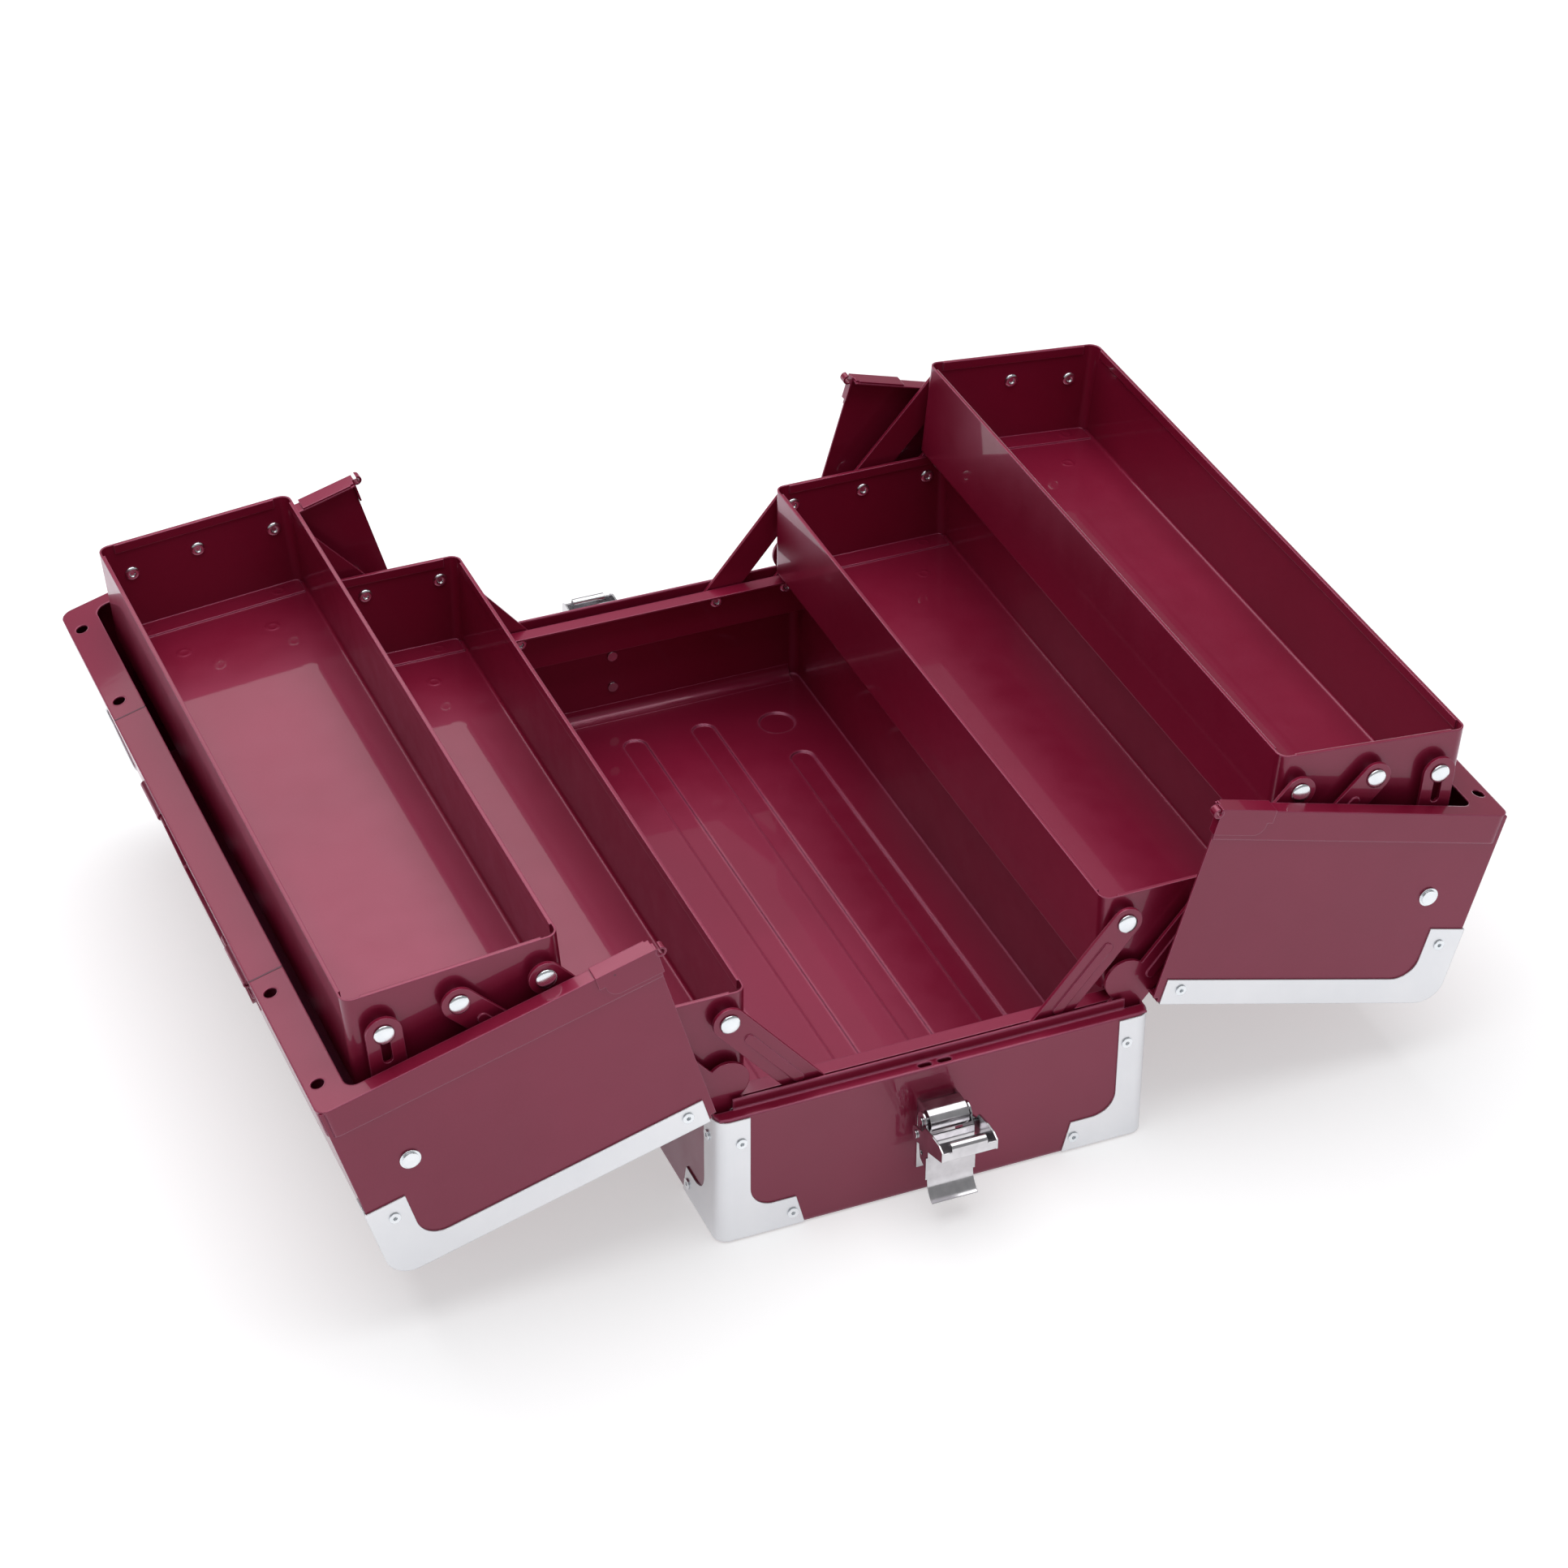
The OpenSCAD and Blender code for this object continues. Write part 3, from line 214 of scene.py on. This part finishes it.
# ---------------------------------------------------------------- metals
def metal(name, low, high, rough, grain_scale, cloud_scale, bevel, bump, metallic=1.0):
    """Bare, plated or anodised metal between two colours and two roughnesses, with a fine grain."""
    s = Shade(name)
    rounded = s.bevel(bevel)
    grain = s.noise(1.0, 3.0, s.scaled(grain_scale))
    cloud = s.noise(cloud_scale, 3.0)
    return s.finish({"Base Color": s.mix(s.spread(cloud, 0.0, 1.0), low, high),
                     "Roughness": s.spread(s.math("ADD", grain, cloud), *rough, noises=2),
                     "Normal": s.bump(grain, *bump, rounded)}, Metallic=metallic)


def steel(name, low, high, rough, grain_scale, strength):
    """Steel with fine polishing lines."""
    return metal(name, low, high, rough, grain_scale, 140.0, 0.0004, (0.00005, strength))


RIVET = steel("plated_rivet", srgb(228, 233, 237), srgb(241, 244, 247), (0.16, 0.28),
              (500.0, 500.0, 500.0), 0.15)
LATCH = steel("polished_stainless", srgb(192, 190, 193), srgb(214, 212, 215), (0.12, 0.24),
              (60.0, 900.0, 60.0), 0.20)
WIRE = steel("bright_wire", srgb(170, 172, 176), srgb(200, 202, 205), (0.24, 0.36),
             (700.0, 40.0, 700.0), 0.25)
TRIM = metal("satin_aluminium", srgb(232, 234, 238), srgb(241, 242, 245), (0.30, 0.42),
             (900.0, 900.0, 60.0), 25.0, 0.0006, (0.00004, 0.25), metallic=0.85)
PAINT = paint("wine_paint")
CASE_PAINT = paint("wine_paint_case", 0.0020)
FRAME_PAINT = paint("wine_paint_frame", 0.0012, seams=(-113.5, 113.5))


# ---------------------------------------------------------------- places of the linkage
# In mm, x outwards and z up, from the same sizes as the CAD model
CASE_HALF = 110.0
PIVOT_Z, LONG_INSET = 69.0, 12.6                        # the lever pivots on the base
TRAY_L, TRAY_H, TRAY_SHEET = 400.8, 53.0, 0.9
SHUT_GAP = 2.0                                          # from the middle to a shut tray
FRONT_ARM, UPPER_ARM = 68.4, 69.3
LOWER_HOLE = (10.7, -12.65)                             # holes from a tray's inner top corner
UPPER_HOLES = ((10.4, -17.5), (50.9, -16.2), (86.2, -19.4))
UPPER_LEVER_STEP = 38.0
OPEN, TOP_OPEN, TILT = math.radians(50.2), math.radians(48.2), math.radians(5.27)


def slope(length, angle):
    return length * Vector((math.cos(angle), math.sin(angle)))


def tilted(x, z):
    """An offset in the upper tray, which tilts outwards in the open box."""
    return Vector((x * math.cos(TILT) + z * math.sin(TILT), z * math.cos(TILT) - x * math.sin(TILT)))


front_base = Vector((SHUT_GAP + LOWER_HOLE[0] + FRONT_ARM * math.cos(OPEN), PIVOT_Z))
long_base = Vector((CASE_HALF - LONG_INSET, PIVOT_Z))
arm = slope(FRONT_ARM, OPEN)
long_top = long_base + arm + slope(UPPER_ARM, TOP_OPEN)
lower_corner = front_base + arm - Vector(LOWER_HOLE)
upper_corner = long_top - tilted(*UPPER_HOLES[0])
pitch = long_base[0] - front_base[0]
LOWER_HOLES = [(LOWER_HOLE[0] + x, LOWER_HOLE[1]) for x in (0, pitch, pitch + UPPER_LEVER_STEP)]


def tray_point(upper, side, x, y, z):
    """A place in a tray, from its inner top corner, as it stands in the open box."""
    p = upper_corner + tilted(x, z) if upper else lower_corner + Vector((x, z))
    return (side * p[0], y, p[1])


def tray_spots(upper, side):
    """The weld dimples of a tray: four in its floor, four in the step around it."""
    floor = TRAY_SHEET - TRAY_H
    return [tray_point(upper, side, x, y, floor) for x in (27, 74) for y in (-166, 166)] + \
           [tray_point(upper, side, x, y, floor + TRAY_SHEET) for x in (15, 86) for y in (-194, 194)]


# ---------------------------------------------------------------- materials of the CAD pieces
PAINTED_TRAYS = {f"{level}_tray_{word}": paint(f"wine_paint_{level}_{word}", 0.0009, tray_spots(upper, side))
                 for upper, level in ((True, "upper"), (False, "lower")) for side, word in SIDES}


def finish_of(name):
    if name in PAINTED_TRAYS:
        return PAINTED_TRAYS[name]
    if name.startswith("seam_frame"):
        return FRAME_PAINT
    if "trim" in name and "rivets" not in name:
        return TRIM
    if name.startswith("latch"):
        return LATCH
    if "rivets" in name:
        return RIVET
    return {"hinge_wires": WIRE, "base_case": CASE_PAINT}.get(name, PAINT)


for name, obj in nodes.items():
    obj.data.materials.clear()
    obj.data.materials.append(finish_of(name))


# ---------------------------------------------------------------- shapes
SHARP = math.radians(50)


def solid(name, verts, faces, material):
    """A mesh of its own in the scene, smooth but for its sharp folds."""
    mesh = bpy.data.meshes.new(name)
    mesh.from_pydata(verts, [], faces)
    mesh.validate()
    mesh.update()
    mesh.shade_smooth()
    mesh.set_sharp_from_angle(angle=SHARP)
    obj = bpy.data.objects.new(name, mesh)
    bpy.context.scene.collection.objects.link(obj)
    obj.data.materials.append(material)
    return obj


# ---------------------------------------------------------------- rivets
LEVER_Y, LEVER_OUT = 204.0, 205.8       # inner and outer face of the levers at the pivots
TURN, DOME_STEPS = 40, 9                # parts of a circle and of a dome
SHANK, SHOULDER = 2.2, 4.0              # radii
TAIL_PLAY, WALL_PLAY, LEVER_PLAY, HEAD_PLAY = 0.05, 0.05, 0.15, 0.2
# (radius, height over the tail's end) from the bottom of the bore round the rolled lip to the shank
ROLLED_TAIL = ((0.0, -0.35), (1.25, -0.35), (1.45, -0.9), (1.75, -1.15), (2.3, -1.2), (3.1, -1.0),
               (3.65, -0.55), (3.8, -0.1), (3.75, 0.0), (SHANK, 0.0))
BASE_HEAD, TRAY_HEAD = (4.3, 1.1), (5.0, 1.8)           # radius and height


def lathe(name, places):
    """Turned rivets in one mesh. places are (profile of (radius, along), origin in mm, outward direction)."""
    verts, faces = [], []
    for profile, origin, out in places:
        out = Vector(out).normalized()
        u = out.orthogonal().normalized()
        v = out.cross(u)
        rings = []
        for r, h in profile:
            centre = Vector(origin) + out * h
            if r == 0:
                rings.append([len(verts)] * TURN)
                verts.append(centre * MM)
                continue
            rings.append(list(range(len(verts), len(verts) + TURN)))
            for i in range(TURN):
                a = 2 * math.pi * i / TURN
                verts.append((centre + r * (math.cos(a) * u + math.sin(a) * v)) * MM)
        for a, b in zip(rings, rings[1:]):
            for i in range(TURN):
                j = (i + 1) % TURN
                # at a ring shrunk to a point the quad is a triangle
                corners = list(dict.fromkeys((a[i], a[j], b[j], b[i])))
                if len(corners) > 2:
                    faces.append(corners)
    return solid(name, verts, faces, RIVET)


def dome(radius, height, base):
    """Domed head from its rim at base to its crown, with a short upright rim."""
    rim = 0.22 * height
    points = [(radius - 0.15, base), (radius, base + 0.12), (radius, base + rim)]
    for i in range(1, DOME_STEPS + 1):
        a = math.pi / 2 * i / DOME_STEPS
        points.append((radius * math.cos(a) if i < DOME_STEPS else 0.0,
                       base + rim + (height - rim) * math.sin(a) ** 0.9))
    return points


def rivet_profile(wall, sheet, head):
    """Tubular rivet along its axis, through a sheet whose outer face is at wall: rolled tail, shoulder between the
    wall and the lever, shank and domed head."""
    tail = wall - sheet - TAIL_PLAY
    shoulder = (wall + WALL_PLAY, LEVER_Y - LEVER_PLAY)
    return [(r, tail + h) for r, h in ROLLED_TAIL] + \
        [(SHANK, shoulder[0]), (SHOULDER, shoulder[0]), (SHOULDER, shoulder[1]), (SHANK, shoulder[1]),
         (SHANK, LEVER_OUT + HEAD_PLAY)] + dome(*head, LEVER_OUT + HEAD_PLAY)


def end_places(points, profile):
    """The same rivet at both ends of the box, at each (x, z)."""
    return [(profile, (x, 0, z), (0, s, 0)) for x, z in points for s in (-1, 1)]


bracket_face, bracket_sheet = TRAY_L / 2 + 1.6 + 1, 1.0
base_profile = rivet_profile(bracket_face, bracket_sheet, BASE_HEAD)
base_rivets = lathe("base_lever_rivets", [
    q for side in (-1, 1)
    for q in end_places([(side * p[0], p[1]) for p in (front_base, long_base)], base_profile)])
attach(base_rivets, "base")
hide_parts("base_pivot_rivets")

tray_profile = rivet_profile(TRAY_L / 2, TRAY_SHEET, TRAY_HEAD)
for side, word in SIDES:
    for upper, level in ((False, "lower"), (True, "upper")):
        corners = [tray_point(upper, side, x, 0, z) for x, z in (UPPER_HOLES if upper else LOWER_HOLES)]
        body = f"{level}_tray_{word}"
        made = lathe(f"{body}_domed_rivets", end_places([(x, z) for x, _, z in corners], tray_profile))
        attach(made, body)
        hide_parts(f"{level}_tray_rivets_{word}")


# ---------------------------------------------------------------- floor folds
END_FACE, FLOOR_TOP, FOLD_HALF = 214.0, 2.0, 104.0      # the case's inner faces and half the fold's length
FOLD_RADIUS, FOLD_STEPS = 7.0, 12
LET_IN, LIFT = 0.4, 0.02


def floor_fold(name, end):
    """Rounded fold between the case's floor and one end, as a closed strip let into both sheets."""
    face = end * END_FACE
    profile = [(face + end * LET_IN, FLOOR_TOP - LET_IN), (face + end * LET_IN, FLOOR_TOP + FOLD_RADIUS)]
    for i in range(FOLD_STEPS + 1):
        a = math.pi / 2 * i / FOLD_STEPS
        profile.append((face - end * FOLD_RADIUS * (1 - math.cos(a)),
                        FLOOR_TOP + FOLD_RADIUS * (1 - math.sin(a)) + LIFT))
    profile.append((face - end * FOLD_RADIUS, FLOOR_TOP - LET_IN))
    n = len(profile)
    verts = [(x * MM, y * MM, z * MM) for x in (-FOLD_HALF, FOLD_HALF) for y, z in profile]
    faces = [tuple(range(n)), tuple(range(2 * n - 1, n - 1, -1))]
    faces += [(i + n, (i + 1) % n + n, (i + 1) % n, i) for i in range(n)]
    if end > 0:
        faces = [f[::-1] for f in faces]
    obj = solid(name, verts, faces, PAINT)
    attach(obj, "base")


floor_fold("base_floor_fold_near", -1)
floor_fold("base_floor_fold_far", 1)


# ---------------------------------------------------------------- studio
FLOOR_SIZE, FLOOR_Z = 60.0, -0.0003                     # metres
FLOOR_GREY = (0.66, 0.66, 0.67, 1)
GLOW_NEAR, GLOW_FAR = (0.7, 0.50), (3.0, 1.0)           # (distance from the object, brightness)
AMBIENT = ((0.985, 0.99, 1.0, 1), 0.32)                 # colour and strength for all rays but the camera's


def make_floor():
    bpy.ops.mesh.primitive_plane_add(size=FLOOR_SIZE, location=(0, 0, FLOOR_Z))
    floor = bpy.context.object
    floor.name = "floor"
    s = Shade("studio_floor")
    s.tree.nodes.remove(s.bsdf)
    rays = s.node("ShaderNodeLightPath")
    seen = s.math("MAXIMUM", rays.outputs["Is Camera Ray"],
                  s.math("MAXIMUM", rays.outputs["Is Glossy Ray"], rays.outputs["Is Transmission Ray"]))
    diffuse = s.node("ShaderNodeBsdfDiffuse", {"Color": FLOOR_GREY})
    # the floor whitens away from the object, so that it meets the white behind it without an edge
    level = s.remap(s.vector_math("LENGTH", s.object), GLOW_NEAR[0], GLOW_FAR[0], GLOW_NEAR[1], GLOW_FAR[1], True)
    glow = s.node("ShaderNodeEmission", {"Color": (1, 1, 1, 1), "Strength": s.math("MULTIPLY", seen, level)})
    both = s.node("ShaderNodeAddShader", {0: diffuse.outputs[0], 1: glow.outputs[0]})
    s.put(s.out.inputs["Surface"], both.outputs[0])
    floor.data.materials.append(s.mat)


def make_world():
    """Soft light on the object, and plain white for the camera."""
    world = bpy.data.worlds.new("studio")
    bpy.context.scene.world = world
    world.use_nodes = True
    tree = world.node_tree
    tree.nodes.clear()
    rays = tree.nodes.new("ShaderNodeLightPath")
    soft = tree.nodes.new("ShaderNodeBackground")
    soft.inputs["Color"].default_value, soft.inputs["Strength"].default_value = AMBIENT
    white = tree.nodes.new("ShaderNodeBackground")
    white.inputs["Strength"].default_value = 1.0
    pick = tree.nodes.new("ShaderNodeMixShader")
    for i, socket in enumerate((rays.outputs["Is Camera Ray"], soft.outputs[0], white.outputs[0])):
        tree.links.new(socket, pick.inputs[i])
    out = tree.nodes.new("ShaderNodeOutputWorld")
    tree.links.new(pick.outputs[0], out.inputs[0])


def softbox(name, x, y, z, size, power):
    """Rectangular light at a place in metres, facing straight down."""
    light = bpy.data.lights.new(name, "AREA")
    light.shape = "RECTANGLE"
    light.size, light.size_y = size
    light.energy = power
    obj = bpy.data.objects.new(name, light)
    bpy.context.scene.collection.objects.link(obj)
    obj.location = (x, y, z)
    obj.rotation_euler = Vector((0, 0, -z)).to_track_quat("-Z", "Y").to_euler()


make_floor()
make_world()
# one large box overhead and a lower one beyond it, which the left trays' floors mirror
softbox("softbox_over", -0.15, 0.55, 2.3, (2.7, 3.3), 58.0)
softbox("softbox_far", 0.0, 2.75, 2.3, (1.9, 1.1), 10.0)
